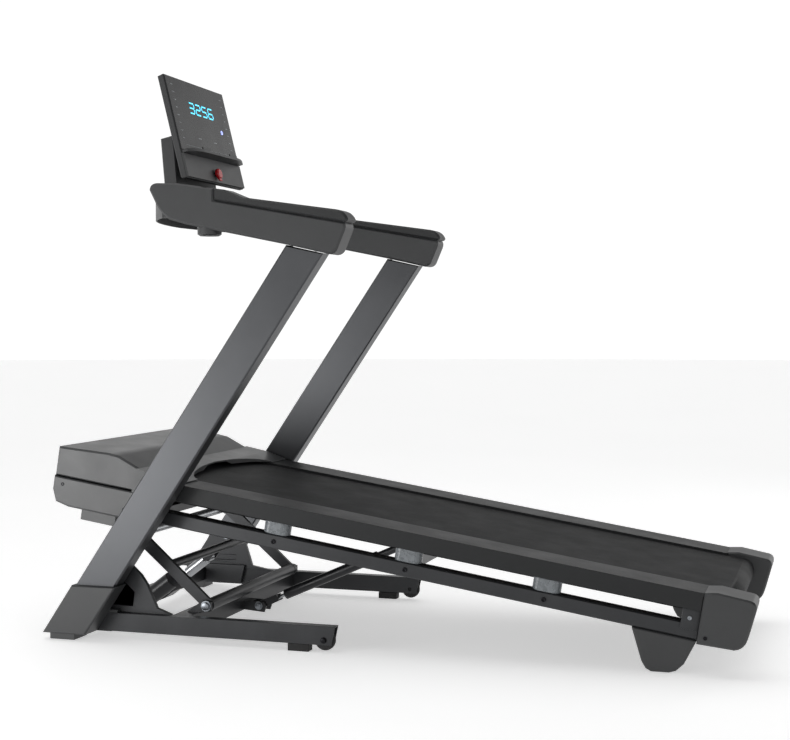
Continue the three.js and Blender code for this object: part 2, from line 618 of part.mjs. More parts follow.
function makeDeckFrame() {
  const [low, high] = frameTubeW;
  const [inner, outer] = frameTubeY;
  bothSides((side, sign) => {
    const tube = slab([
      [frameFront, low], [deckLength - gap, low], [deckLength - gap, high], [frameFront, high],
    ], sign * inner, sign * outer, 3);
    const tab = slab([[-34, low + 8], [-18, -6], [-10, -18], [10, -18], [18, -6], [34, low + 8]],
      sign * (inner + 4), sign * (inner + 14));
    const bore = roundBar(0, 0, axleRadius + 0.5, sign * (inner - 5), sign * (outer + 5), 24);
    const hollow = block(frameFront - 5, deckLength + 5, sign * (inner + tubeWall + 2),
      sign * (outer - tubeWall - 2), low + tubeWall + 2, high - tubeWall - 2);
    add(deck, `frame_tube_${side}`, cut(join(tube, tab), hollow, bore), 'paint');
  });
  const half = inner - gap;
  const rollerSeat = (u, from, to) => [-1, 1].map((sign) => cut(
    slab([[from, low + 4], [to, low + 4], [u + 16, rollerW - 12], [u + 16, rollerW + 14],
      [u - 16, rollerW + 14], [u - 16, rollerW - 12]], sign * (half - 7), sign * half),
    roundBar(u, rollerW, 8.5, sign * (half - 20), sign * (half + 20), 16),
  ));
  const frontBar = [frontRollerU - 24, frontRollerU + 24];
  add(deck, 'frame_crossbar_front', join(
    block(...frontBar, -half, half, low + 2, low + 24), ...rollerSeat(frontRollerU, ...frontBar),
  ), 'paint');
  add(deck, 'frame_crossbar_rear', join(
    hollowBar(rearRollerU - 82, deckLength - 2, half, low + 2, high - 2),
    ...rollerSeat(rearRollerU, rearRollerU - 78, rearRollerU + 16),
  ), 'paint');
  const [topU, topW] = toDeck(strutTop.x, strutTop.z);
  const barU = topU + middleBarAfter;
  const clevis = [-1, 1].map((sign) => slab([
    [barU + 6, low + 6], [topU - 8, topW - 13], [topU - 13, topW], [topU - 8, topW + 10],
    [barU + 6, high - 4],
  ], sign * 13, sign * 18));
  add(deck, 'frame_crossbar_middle', join(
    hollowBar(barU, barU + 40, half, low + 2, high - 2), ...clevis,
  ), 'paint');
}

function makeRearFeet() {
  const tubeBottom = frameTubeW[0] - gap;
  const endX = foldPivot.x + deckLength * along.x + tubeBottom * square.x;
  const footX = endX - footBack;
  bothSides((side, sign) => {
    const foot = [
      toDeck(footX - 43, 22), toDeck(footX - 34, 7), toDeck(footX - 21, 0), toDeck(footX + 21, 0),
      toDeck(footX + 37, 5), toDeck(footX + 55, 22),
      [deckLength - slip, tubeBottom], [deckLength - footLong, tubeBottom],
    ];
    add(deck, `rear_foot_${side}`, slab(foot, sign * (frameTubeY[0] + 4), sign * frameTubeY[1], 4),
      'plastic');
  });
}

function makeFootRails() {
  bothSides((side, sign) => {
    const top = block(footRailFront, deckLength - gap, sign * footRailInnerY, sign * footRailOuterY,
      deckTop - footRailSkin, deckTop);
    const lip = slab([
      [footRailFront, deckTop - footRailDeep], [deckLength - gap, deckTop - footRailDeep],
      [deckLength - gap, deckTop - 2], [footRailFront, deckTop - 2],
    ], sign * (footRailOuterY - 22), sign * footRailOuterY, 2);
    add(deck, `foot_rail_${side}`, join(top, lip), 'plastic');
  });
}

function makeBoardAndCushions() {
  const half = footRailOuterY - 22 - slip;
  add(deck, 'deck_board', block(boardFront, deckLength - 2, -half, half, boardBottom, boardTop),
    'board');
  bothSides((side, sign) => {
    const middle = sign * (frameTubeY[0] + frameTubeY[1]) / 2;
    for (let index = 0; index < 3; index += 1) {
      const u = cushionFirst + index * cushionSpacing;
      const puck = roundRect(u - cushionLength / 2, u + cushionLength / 2, middle - cushionWide / 2,
        middle + cushionWide / 2, cushionWide / 2 - 0.5);
      add(deck, `cushion_${side}_${index + 1}`, plate(puck, frameTubeW[1] + gap, boardBottom - gap),
        'elastomer');
    }
  });
}

// A belt loop round two rollers, in the deck's u and w.
function loopShape(u0, w0, r0, u1, w1, r1) {
  const apart = Math.hypot(u1 - u0, w1 - w0);
  const heading = Math.atan2(w1 - w0, u1 - u0);
  const lean = Math.acos((r0 - r1) / apart);
  const shape = new THREE.Shape();
  shape.absarc(u0, w0, r0, heading + lean, heading + 2 * Math.PI - lean, false);
  shape.absarc(u1, w1, r1, heading - lean, heading + lean, false);
  shape.closePath();
  return shape;
}
function makeBelts() {
  const loop = (grow) => loopShape(frontRollerU, rollerW, rollerRadius + grow, rearRollerU, rollerW,
    rollerRadius + grow);
  const walk = loop(gap + beltThick);
  walk.holes.push(new THREE.Path(loop(gap).getPoints(10)));
  add(deck, 'walking_belt', slab(walk, -beltWide / 2, beltWide / 2), 'belt');

  const ribLoop = (grow) => loopShape(motorU, motorW, motorPulleyRadius + grow, frontRollerU, rollerW,
    rollerPulleyRadius + grow);
  const drive = ribLoop(4);
  drive.holes.push(new THREE.Path(ribLoop(1).getPoints(10)));
  add(deck, 'drive_belt', slab(drive, pulleyY[0] + 3, pulleyY[1] - 3), 'rubber');
}

function makeRollersAndMotor() {
  const end = beltWide / 2 + 6;
  const shaftEnd = frameTubeY[0] - 2;
  const body = [[8, -shaftEnd], [8, -end], [rollerRadius, -end], [rollerRadius, end]];
  add(deck, 'front_roller', turned(frontRollerU, rollerW, [
    [0, -shaftEnd], ...body, [20, end], [20, pulleyY[0]], [rollerPulleyRadius + 3, pulleyY[0]],
    [rollerPulleyRadius + 3, pulleyY[0] + 2], [rollerPulleyRadius, pulleyY[0] + 2],
    [rollerPulleyRadius, pulleyY[1]], [8, pulleyY[1]], [8, shaftEnd], [0, shaftEnd],
  ], 32), 'steel');
  add(deck, 'rear_roller', turned(rearRollerU, rollerW, [
    [0, -shaftEnd + 20], [8, -shaftEnd + 20], [8, -end], [rollerRadius, -end], [rollerRadius, end], [8, end],
    [8, shaftEnd - 20], [0, shaftEnd - 20],
  ], 32), 'steel');
  add(deck, 'motor_pulley', turned(motorU, motorW, [
    [0, pulleyY[0] - 12], [6, pulleyY[0] - 12], [6, pulleyY[0]], [motorPulleyRadius + 3, pulleyY[0]],
    [motorPulleyRadius + 3, pulleyY[0] + 2], [motorPulleyRadius, pulleyY[0] + 2],
    [motorPulleyRadius, pulleyY[1]], [0, pulleyY[1]],
  ], 24), 'steel');
  const canEnd = pulleyY[0] - 16;
  const canStart = canEnd - motorLong;
  const can = roundBar(motorU, motorW, motorRadius, canStart, canEnd, 28);
  const mount = block(motorU - 40, motorU + 40, canStart + 10, canEnd - 12, frameTubeW[0] + 4, motorW - 30);
  const shaftBore = roundBar(motorU, motorW, 6 + slip, canEnd - 8, canEnd + 14, 16);
  const legs = block(motorU - 46, motorU + 46, canStart, frameTubeY[0] - 2, frameTubeW[0] + 4,
    frameTubeW[0] + 9);
  add(deck, 'drive_motor', cut(join(can, mount, legs), shaftBore), 'steel');
}

function makeEndCaps() {
  const rear = deckLength + capLength;
  bothSides((side, sign) => {
    const outline = new THREE.Shape();
    outline.moveTo(deckLength, capBottom);
    outline.lineTo(rear - 34, capBottom + 4);
    outline.quadraticCurveTo(rear - 12, capBottom + 10, rear - 8, capBottom + 36);
    outline.lineTo(rear, capTop - 22);
    outline.quadraticCurveTo(rear + 1, capTop - 6, rear - 14, capTop - 3);
    outline.lineTo(deckLength + 30, capTop);
    outline.lineTo(deckLength, deckTop + 1);
    const innerY = beltWide / 2 + 8;
    const wall = 4;
    const cap = slab(outline, sign * innerY, sign * (footRailOuterY + 3), 4);
    const hollow = slab([
      [deckLength - 1, capBottom + wall], [rear - 38, capBottom + wall + 4], [rear - 14, capBottom + 44],
      [rear - 6, capTop - 28], [rear - 16, capTop - wall - 5], [deckLength - 1, capTop - wall - 5],
    ], sign * (innerY + wall), sign * (footRailOuterY + 3 - wall));
    const shaftHole = roundBar(rearRollerU, rollerW, 10, sign * (innerY - 5), sign * (innerY + 10), 16);
    add(deck, `end_cap_${side}`, cut(cap, hollow, shaftHole), 'plastic');
  });
}

// ---- motor hood -------------------------------------------------------------------------------
function makeHood() {
  const topOutline = (inset, low) => [
    [-231 + inset, low], [-231 + inset, 197 - inset], [-84, 205 - inset], [-54, 203 - inset],
    [hoodRear - gap - inset, 182 - inset], [hoodRear - gap - inset, low],
  ];
  const shell = cut(slab(topOutline(0, hoodSplit), -hoodHalf, hoodHalf, 5),
    slab(topOutline(hoodWall, hoodSplit - 1), -hoodHalf + hoodWall, hoodHalf - hoodWall));
  const lidBottom = deckTop + 1.5;
  const lidHalf = footRailOuterY - 1;
  const lid = cut(slab([
    [hoodRear - 4, hoodSplit], [footRailFront - gap, hoodSplit], [footRailFront - gap, lidBottom],
    [135, lidBottom], [135, lidBottom + 2], [footRailFront, 179], [hoodRear - 4, 182],
  ], -lidHalf, lidHalf), slab([
    [hoodRear, hoodSplit - 9], [footRailFront + 15, hoodSplit - 9], [footRailFront + 15, lidBottom - 0.1],
    [footRailFront + 1, lidBottom - 0.1], [footRailFront - 3, 175], [hoodRear, 178.5],
  ], -lidHalf + hoodWall, lidHalf - hoodWall));
  const mouth = new THREE.Shape(); // the opening that the belt runs out of
  mouth.moveTo(140, -beltWide / 2 - 3);
  mouth.lineTo(128, -beltWide / 2 - 3);
  mouth.quadraticCurveTo(84, -beltWide / 2 + 30, 66, 0);
  mouth.quadraticCurveTo(84, beltWide / 2 - 30, 128, beltWide / 2 + 3);
  mouth.lineTo(140, beltWide / 2 + 3);
  const doorway = block(hoodRear - 14, hoodRear + 6, -hoodHalf + 12, hoodHalf - 12, hoodSplit - 4, 177);
  add(deck, 'hood_top', cut(join(shell, cut(lid, plate(mouth, 100, 220))), doorway), 'plastic');

  const lowTop = hoodSplit - gap;
  const front = -234;
  const outline = (inset, top) => [
    [front + inset, top], [front + inset, 82 + inset / 2], [-221 + inset, 51 + inset], [-182, 43 + inset],
    [hoodRear - gap - inset, 43 + inset], [hoodRear - gap - inset, top],
  ];
  const tray = cut(slab(outline(0, lowTop), -hoodHalf, hoodHalf, 5),
    slab(outline(hoodWall, lowTop + 5), -hoodHalf + hoodWall, hoodHalf - hoodWall));
  const pan = cut(block(-147, -47, -panHalf, panHalf, 15, 44),
    block(-147 + hoodWall, -47 - hoodWall, -panHalf + hoodWall, panHalf - hoodWall, 15 + hoodWall, 60));
  const panMouth = block(-147 + hoodWall, -47 - hoodWall, -panHalf + hoodWall, panHalf - hoodWall, 30, 60);
  const [tubeIn, tubeOut] = frameTubeY;
  const notches = [-1, 1].map((sign) => block(hoodRear - 20, hoodRear + 5, sign * (tubeIn - 2),
    sign * (tubeOut + 2), 30, 200));
  const middleDoor = block(hoodRear - 20, hoodRear + 5, -tubeIn, tubeIn, 47, 200);
  const tabSlots = [-1, 1].map((sign) => block(-48, 10, sign * (tubeIn - 2), sign * (tubeIn + 18), 30, 60));
  add(deck, 'hood_base', cut(join(tray, pan), panMouth, ...notches, middleDoor, ...tabSlots), 'plastic');
}

makeBase();
makeGuideBrackets();
makeUprights();
makeHandrails();
makeConsoleBridge();
makeDisplay();
makeLiftFrame();
makeInclineMotor();
makeStrut();
makeDeckFrame();
makeRearFeet();
makeFootRails();
makeBoardAndCushions();
makeBelts();
makeRollersAndMotor();
makeEndCaps();
makeHood();

// The origin is under the middle of the whole machine, on the floor.
machine.updateMatrixWorld(true);
const extent = new THREE.Box3().setFromObject(machine, true);
machine.position.x = -(extent.min.x + extent.max.x) / 2;

export default treadmill;
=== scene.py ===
import bpy
import json
import math
from mathutils import Matrix, Vector


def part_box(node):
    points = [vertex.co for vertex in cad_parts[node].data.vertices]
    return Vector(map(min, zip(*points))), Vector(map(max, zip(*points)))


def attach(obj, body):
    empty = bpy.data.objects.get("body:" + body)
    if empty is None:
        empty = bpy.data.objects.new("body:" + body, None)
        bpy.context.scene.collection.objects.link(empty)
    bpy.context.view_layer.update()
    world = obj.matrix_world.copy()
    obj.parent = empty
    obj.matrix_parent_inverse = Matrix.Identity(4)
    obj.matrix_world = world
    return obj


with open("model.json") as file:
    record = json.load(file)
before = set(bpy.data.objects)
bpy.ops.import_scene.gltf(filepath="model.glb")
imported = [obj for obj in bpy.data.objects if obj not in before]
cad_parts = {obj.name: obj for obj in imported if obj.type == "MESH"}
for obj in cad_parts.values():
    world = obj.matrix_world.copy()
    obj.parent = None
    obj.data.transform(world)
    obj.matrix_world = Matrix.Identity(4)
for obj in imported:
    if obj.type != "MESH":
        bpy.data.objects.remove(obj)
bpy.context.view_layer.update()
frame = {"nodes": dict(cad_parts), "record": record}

print("treadmill: small helpers")


def linearColour(hexText):
    # sRGB hex to the linear numbers that the shaders take
    parts = [int(hexText[i:i + 2], 16) / 255 for i in (1, 3, 5)]
    return [p / 12.92 if p <= 0.04045 else ((p + 0.055) / 1.055) ** 2.4 for p in parts] + [1.0]


def addNode(tree, kind, settings=None, links=None):
    node = tree.nodes.new("ShaderNode" + kind)
    for key, value in (settings or {}).items():
        if isinstance(key, int) or key in node.inputs:
            node.inputs[key].default_value = value
        else:
            setattr(node, key, value)
    for key, source in (links or {}).items():
        tree.links.new(source, node.inputs[key])
    return node


def dropSelection():
    if bpy.context.mode != "OBJECT":
        bpy.ops.object.mode_set(mode="OBJECT")
    bpy.ops.object.select_all(action="DESELECT")


def choose(*objects):
    dropSelection()
    for thing in objects:
        thing.select_set(True)
    bpy.context.view_layer.objects.active = objects[0]


def addBox(name, low, high):
    dropSelection()
    middle = [(a + b) / 2 for a, b in zip(low, high)]
    bpy.ops.mesh.primitive_cube_add(size=1, location=middle)
    box = bpy.context.object
    box.name = name
    box.scale = [b - a for a, b in zip(low, high)]
    bpy.ops.object.transform_apply(location=True, rotation=True, scale=True)
    return box


def addRound(name, middle, radius, depth, along="Z", sides=32):
    dropSelection()
    turn = {"X": (0, math.pi / 2, 0), "Y": (math.pi / 2, 0, 0), "Z": (0, 0, 0)}[along]
    bpy.ops.mesh.primitive_cylinder_add(vertices=sides, radius=radius, depth=depth,
                                        location=middle, rotation=turn)
    bar = bpy.context.object
    bar.name = name
    bpy.ops.object.transform_apply(location=True, rotation=True, scale=True)
    return bar


def editFaces(piece, test):
    # opens edit mode with only the faces that pass the test selected
    choose(piece)
    bpy.ops.object.mode_set(mode="EDIT")
    bpy.ops.mesh.select_mode(type="FACE")
    bpy.ops.mesh.select_all(action="DESELECT")
    bpy.ops.object.mode_set(mode="OBJECT")
    for face in piece.data.polygons:
        face.select = bool(test(face))
    bpy.ops.object.mode_set(mode="EDIT")


def useModifier(piece, kind, **settings):
    choose(piece)
    modifier = piece.modifiers.new(kind.title(), kind)
    for key, value in settings.items():
        setattr(modifier, key, value)
    bpy.ops.object.modifier_apply(modifier=modifier.name)


def roundOff(piece, width, segments=3, angle=35):
    useModifier(piece, "BEVEL", width=width, segments=segments, limit_method="ANGLE",
                angle_limit=math.radians(angle))


def cutWith(piece, cutter):
    useModifier(piece, "BOOLEAN", object=cutter, operation="DIFFERENCE", solver="EXACT")
    bpy.data.objects.remove(cutter)


def copyOf(piece, name, matrix):
    twin = piece.copy()
    twin.data = piece.data.copy()
    twin.name = name
    bpy.context.scene.collection.objects.link(twin)
    twin.data.transform(matrix)
    if matrix.determinant() < 0:
        twin.data.flip_normals()
    return twin


def joinAll(name, pieces):
    choose(*pieces)
    if len(pieces) > 1:
        bpy.ops.object.join()
    whole = bpy.context.object
    whole.name = name
    return whole


def hand(piece, body, material, angle=35):
    # the finished piece: placed in its mesh, smoothed, painted and given to its body
    choose(piece)
    bpy.ops.object.transform_apply(location=True, rotation=True, scale=True)
    bpy.ops.object.shade_smooth_by_angle(angle=math.radians(angle))
    if material:
        piece.data.materials.clear()
        piece.data.materials.append(material)
    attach(piece, body)
    return piece


print("treadmill: finishes")


def startFinish(name, colour, **sockets):
    material = bpy.data.materials.new(name)
    material.use_nodes = True
    tree = material.node_tree
    shader = tree.nodes["Principled BSDF"]
    shader.inputs["Base Color"].default_value = linearColour(colour)
    for key, value in sockets.items():
        shader.inputs[key].default_value = value
    where = addNode(tree, "TexCoord").outputs["Object"]
    return material, tree, shader, where


def addTexture(tree, shader, where, grain, depth, colours, gloss, cloud=0.09, after=None):
    # grain: size of one bump in mm, depth: its height in mm, gloss: lowest and highest roughness
    bumps = addNode(tree, "TexNoise", {"Scale": 1000 / grain, "Detail": 2.0, "Roughness": 0.55},
                    {"Vector": where})
    clouds = addNode(tree, "TexNoise", {"Scale": 1 / cloud, "Detail": 4.0, "Roughness": 0.6},
                     {"Vector": where})
    bump = addNode(tree, "Bump", {"Strength": 1.0, "Distance": depth / 1000},
                   {"Height": bumps.outputs["Fac"]})
    if after:
        tree.links.new(after.outputs["Normal"], bump.inputs["Normal"])
    tree.links.new(bump.outputs["Normal"], shader.inputs["Normal"])
    tone = addNode(tree, "MapRange", {"From Min": 0.3, "From Max": 0.7}, {"Value": clouds.outputs["Fac"]})
    paint = addNode(tree, "MixRGB", {"Color1": linearColour(colours[0]), "Color2": linearColour(colours[1])},
                    {"Fac": tone.outputs["Result"]})
    tree.links.new(paint.outputs["Color"], shader.inputs["Base Color"])
    shine = addNode(tree, "MapRange", {"From Min": 0.3, "From Max": 0.7, "To Min": gloss[0],
                                       "To Max": gloss[1]},
                    {"Value": clouds.outputs["Fac"]})
    tree.links.new(shine.outputs["Result"], shader.inputs["Roughness"])
    return paint, bump


def makePowderCoat():
    # baked powder coat on steel tube: satin, with the faint orange peel of melted powder
    material, tree, shader, where = startFinish("satinPowderCoat", "#2b2c2e", Metallic=0.35, IOR=1.5)
    addTexture(tree, shader, where, 1.6, 0.02, ("#28292b", "#303133"), (0.34, 0.42))
    return material


def makeUprightCoat():
    # metallic powder coat on the flat uprights: smoother, so it carries a long soft highlight
    material, tree, shader, where = startFinish("metallicPowderCoat", "#4c4d4f", Metallic=0.8, IOR=1.5)
    addTexture(tree, shader, where, 1.4, 0.012, ("#48494b", "#505153"), (0.34, 0.4), cloud=0.2)
    return material


def makeShellPlastic():
    # injection moulded ABS with a fine spark-eroded grain: matte, soft edge light
    material, tree, shader, where = startFinish("grainedBlackAbs", "#2a2b2c", IOR=1.53)
    addTexture(tree, shader, where, 0.9, 0.03, ("#2a2b2c", "#303132"), (0.42, 0.5))
    return material


def makeHoodPlastic():
    # the hood's ABS is moulded smoother and shows longer reflections than the grained shells
    material, tree, shader, where = startFinish("satinBlackAbs", "#3c3d3e", IOR=1.53)
    addTexture(tree, shader, where, 1.1, 0.015, ("#303132", "#363738"), (0.34, 0.42))
    return material


def makeTread():
    # foot rail polypropylene: matte, with fine ribs moulded across the top for grip
    material, tree, shader, where = startFinish("ribbedPolypropylene", "#1d1e1f", IOR=1.49)
    shader.inputs["Specular IOR Level"].default_value = 0.3
    ribs = addNode(tree, "TexWave", {"wave_type": "BANDS", "bands_direction": "Y",
                                     "Scale": 1000 / 6 / 3.1416 / 2},
                   {"Vector": where})
    ribBump = addNode(tree, "Bump", {"Strength": 0.6, "Distance": 0.0006}, {"Height": ribs.outputs["Fac"]})
    addTexture(tree, shader, where, 0.9, 0.03, ("#1b1c1d", "#212223"), (0.45, 0.55), after=ribBump)
    return material


def makeGrip():
    # soft touch TPE over the handrails: dull, with a dimpled skin and a little sheen
    material, tree, shader, where = startFinish("softTouchTpe", "#191a1b", IOR=1.5)
    shader.inputs["Sheen Weight"].default_value = 0.12
    shader.inputs["Sheen Roughness"].default_value = 0.4
    dots = addNode(tree, "TexVoronoi", {"Scale": 1000 / 2.2}, {"Vector": where})
    dimple = addNode(tree, "Bump", {"Strength": 0.5, "Distance": 0.0003},
                     {"Height": dots.outputs["Distance"]})
    addTexture(tree, shader, where, 0.7, 0.02, ("#171819", "#1c1d1e"), (0.5, 0.6), after=dimple)
    return material


def makeBlackRubber():
    # moulded rubber of pads and tyres: almost no shine, dusty grey in the hollows
    material, tree, shader, where = startFinish("mouldedRubber", "#161617", IOR=1.52)
    addTexture(tree, shader, where, 1.5, 0.05, ("#131314", "#1d1d1d"), (0.7, 0.85), cloud=0.02)
    return material


def makeWalkingBelt():
    # two-ply belt with a PVC face: small pebbles in rows 3 mm apart, scuffed paler down the middle
    material, tree, shader, where = startFinish("pebbledPvcBelt", "#1e1f20", IOR=1.53)
    shader.inputs["Specular IOR Level"].default_value = 0.15
    pebbles = addNode(tree, "TexVoronoi", {"Scale": 1000 / 3, "Randomness": 0.25}, {"Vector": where})
    pebbleBump = addNode(tree, "Bump", {"Strength": 0.5, "Distance": 0.0004},
                         {"Height": pebbles.outputs["Distance"]})
    paint, bump = addTexture(tree, shader, where, 1.0, 0.03, ("#131415", "#18191a"), (0.6, 0.7),
                             after=pebbleBump)
    across = addNode(tree, "SeparateXYZ", {}, {"Vector": where})
    fromMiddle = addNode(tree, "Math", {"operation": "ABSOLUTE"}, {0: across.outputs["Y"]})
    worn = addNode(tree, "MapRange", {"From Min": 0.05, "From Max": 0.2, "To Min": 0.35, "To Max": 0.0},
                   {"Value": fromMiddle.outputs["Value"]})
    scuff = addNode(tree, "MixRGB", {"Color2": linearColour("#1e1f20")},
                    {"Fac": worn.outputs["Result"], "Color1": paint.outputs["Color"]})
    tree.links.new(scuff.outputs["Color"], shader.inputs["Base Color"])
    return material


def makeDriveBelt():
    # poly-V belt: dull rubber with grooves 2.3 mm apart round its inside
    material, tree, shader, where = startFinish("polyVeeBelt", "#151516", IOR=1.52)
    grooves = addNode(tree, "TexWave", {"bands_direction": "Y", "Scale": 1000 / 2.3 / 6.2832},
                      {"Vector": where})
    groove = addNode(tree, "Bump", {"Strength": 0.8, "Distance": 0.0008}, {"Height": grooves.outputs["Fac"]})
    addTexture(tree, shader, where, 1.0, 0.03, ("#131314", "#191a1a"), (0.6, 0.7), after=groove)
    return material


def makeGroundSteel():
    # turned and ground steel: bright, with fine lathe rings round the bar
    material, tree, shader, where = startFinish("groundSteel", "#b5b7ba", Metallic=1.0)
    drawn = addNode(tree, "Mapping", {"Scale": (0.02, 1.0, 0.02)}, {"Vector": where})
    rings = addNode(tree, "TexNoise", {"Scale": 900.0, "Detail": 1.0}, {"Vector": drawn.outputs[0]})
    ring = addNode(tree, "Bump", {"Strength": 0.25, "Distance": 0.0002}, {"Height": rings.outputs["Fac"]})
    addTexture(tree, shader, where, 2.5, 0.004, ("#a6a8ab", "#bcbec1"), (0.22, 0.34), after=ring)
    return material


def makeZinc():
    # clear zinc plate on bolts and screws: cool grey, slightly cloudy
    material, tree, shader, where = startFinish("zincPlate", "#8d9196", Metallic=1.0)
    addTexture(tree, shader, where, 0.8, 0.01, ("#7d8186", "#9a9ea3"), (0.28, 0.45), cloud=0.008)
    return material


def makeBlackOxide():
    # blackened socket screws: dark metal with oily highlights
    material, tree, shader, where = startFinish("blackOxideSteel", "#1c1c1e", Metallic=0.9)
    addTexture(tree, shader, where, 0.8, 0.01, ("#18181a", "#252528"), (0.3, 0.45), cloud=0.006)
    return material


def makeMotorEnamel():
    # sprayed enamel over cast and drawn motor housings: semi-gloss with a little cast texture
    material, tree, shader, where = startFinish("motorEnamel", "#1b1c1e", Metallic=0.2, IOR=1.5)
    addTexture(tree, shader, where, 2.2, 0.05, ("#18191b", "#222326"), (0.28, 0.4), cloud=0.04)
    return material


def makeElastomer():
    # smoky polyurethane cushions: light sinks in a little way, so thin edges glow grey
    material, tree, shader, where = startFinish("smokyPolyurethane", "#7b8084", IOR=1.5)
    shader.inputs["Subsurface Weight"].default_value = 0.35
    shader.inputs["Subsurface Radius"].default_value = (0.006, 0.006, 0.006)
    shader.inputs["Transmission Weight"].default_value = 0.25
    addTexture(tree, shader, where, 1.5, 0.02, ("#6f7478", "#8b9094"), (0.22, 0.34), cloud=0.015)
    return material


def makeBoard():
    # waxed fibreboard: brown, with short pressed fibres
    material, tree, shader, where = startFinish("waxedFibreboard", "#4a3a2a", IOR=1.5)
    pressed = addNode(tree, "Mapping", {"Scale": (0.3, 1.0, 1.0)}, {"Vector": where})
    fibres = addNode(tree, "TexNoise", {"Scale": 350.0, "Detail": 6.0, "Roughness": 0.7},
                     {"Vector": pressed.outputs[0]})
    fibre = addNode(tree, "Bump", {"Strength": 0.4, "Distance": 0.0003}, {"Height": fibres.outputs["Fac"]})
    addTexture(tree, shader, where, 3.0, 0.04, ("#43352a", "#5a4838"), (0.5, 0.6), cloud=0.01, after=fibre)
    return material


def makeDisplayGlass():
    # tinted acrylic over the read-out: deep black with a clear mirror coat and faint finger smears
    material, tree, shader, where = startFinish("tintedAcrylic", "#0b0c0e", IOR=1.49)
    shader.inputs["Specular IOR Level"].default_value = 0.25
    shader.inputs["Coat Weight"].default_value = 0.12
    shader.inputs["Coat Roughness"].default_value = 0.08
    addTexture(tree, shader, where, 12.0, 0.004, ("#0e0f11", "#141517"), (0.2, 0.34), cloud=0.06)
    return material


def makeLamp(name, colour, strength):
    # light from behind the acrylic, a touch uneven along each bar as one small LED lights it
    material, tree, shader, where = startFinish(name, colour, Roughness=0.3)
    spots = addNode(tree, "TexNoise", {"Scale": 260.0, "Detail": 1.0}, {"Vector": where})
    level = addNode(tree, "MapRange", {"From Min": 0.3, "From Max": 0.7, "To Min": 0.75 * strength,
                                       "To Max": 1.15 * strength}, {"Value": spots.outputs["Fac"]})
    tree.links.new(level.outputs["Result"], shader.inputs["Emission Strength"])
    shader.inputs["Emission Color"].default_value = linearColour(colour)
    return material


def makeKeyInk():
    # pale print under the acrylic: flat grey, unlit
    material, tree, shader, where = startFinish("greyKeyInk", "#8c9093", IOR=1.5)
    addTexture(tree, shader, where, 0.6, 0.005, ("#75797c", "#94989b"), (0.4, 0.5), cloud=0.01)
    return material


def makeRedPlastic():
    # glossy red ABS of the safety key
    material, tree, shader, where = startFinish("glossRedAbs", "#a3151c", IOR=1.53)
    addTexture(tree, shader, where, 3.0, 0.01, ("#9a1219", "#b01c22"), (0.18, 0.26), cloud=0.01)
    return material


powderCoat = makePowderCoat()
uprightCoat = makeUprightCoat()
shellPlastic = makeShellPlastic()
hoodPlastic = makeHoodPlastic()
treadPlastic = makeTread()
gripRubber = makeGrip()
blackRubber = makeBlackRubber()
beltFace = makeWalkingBelt()
driveBeltRubber = makeDriveBelt()
groundSteel = makeGroundSteel()
zincPlate = makeZinc()
blackOxide = makeBlackOxide()
motorEnamel = makeMotorEnamel()
elastomer = makeElastomer()
fibreboard = makeBoard()
displayGlass = makeDisplayGlass()
cyanLamp = makeLamp("cyanDigitLamp", "#4fd3f5", 1.6)
blueLamp = makeLamp("blueIconLamp", "#8f9cf5", 2.2)
keyInk = makeKeyInk()
redPlastic = makeRedPlastic()

print("treadmill: the machine's own pieces")

# finish and edge radius in mm of each family of pieces
family = {
    "frame_": (powderCoat, 2.0),
    "base_rail": (powderCoat, 2.5),
    "front_cross": (powderCoat, 1.5),
    "rear_cross": (powderCoat, 1.5),
    "guide_bracket": (powderCoat, 0.8),
    "upright": (uprightCoat, 1.5),
    "lift_frame": (powderCoat, 1.0),
    "strut_yoke": (powderCoat, 0.8),
    "strut_rod": (groundSteel, 0.4),
    "strut_sleeve": (groundSteel, 0.4),
    "strut_cylinder": (motorEnamel, 0.8),
    "strut_head": (powderCoat, 0.6),
    "boot": (shellPlastic, 2.5),
    "end_cap": (shellPlastic, 3.0),
    "rear_foot": (shellPlastic, 3.0),
    "hood": (hoodPlastic, 2.0),
    "foot_rail": (treadPlastic, 3.0),
    "handrail_grip": (gripRubber, 3.0),
    "handrail_l": (shellPlastic, 3.0),
    "handrail_r": (shellPlastic, 3.0),
    "cup_holder": (shellPlastic, 1.0),
    "console_bridge": (shellPlastic, 3.0),
    "display_housing": (shellPlastic, 1.5),
    "display_screen": (displayGlass, 0.6),
    "device_shelf": (shellPlastic, 1.0),
    "safety_key": (redPlastic, 0.8),
    "foot_pad": (blackRubber, 1.5),
    "transport_wheel": (blackRubber, 1.5),
    "walking_belt": (beltFace, 0),
    "drive_belt": (driveBeltRubber, 0),
    "front_roller": (groundSteel, 0.6),
    "rear_roller": (groundSteel, 0.6),
    "motor_pulley": (groundSteel, 0.4),
    "drive_motor": (motorEnamel, 1.0),
    "incline_motor": (motorEnamel, 1.0),
    "incline_tube": (groundSteel, 0.4),
    "fold_axle": (groundSteel, 0.6),
    "deck_board": (fibreboard, 1.0),
    "cushion": (elastomer, 3.0),
}


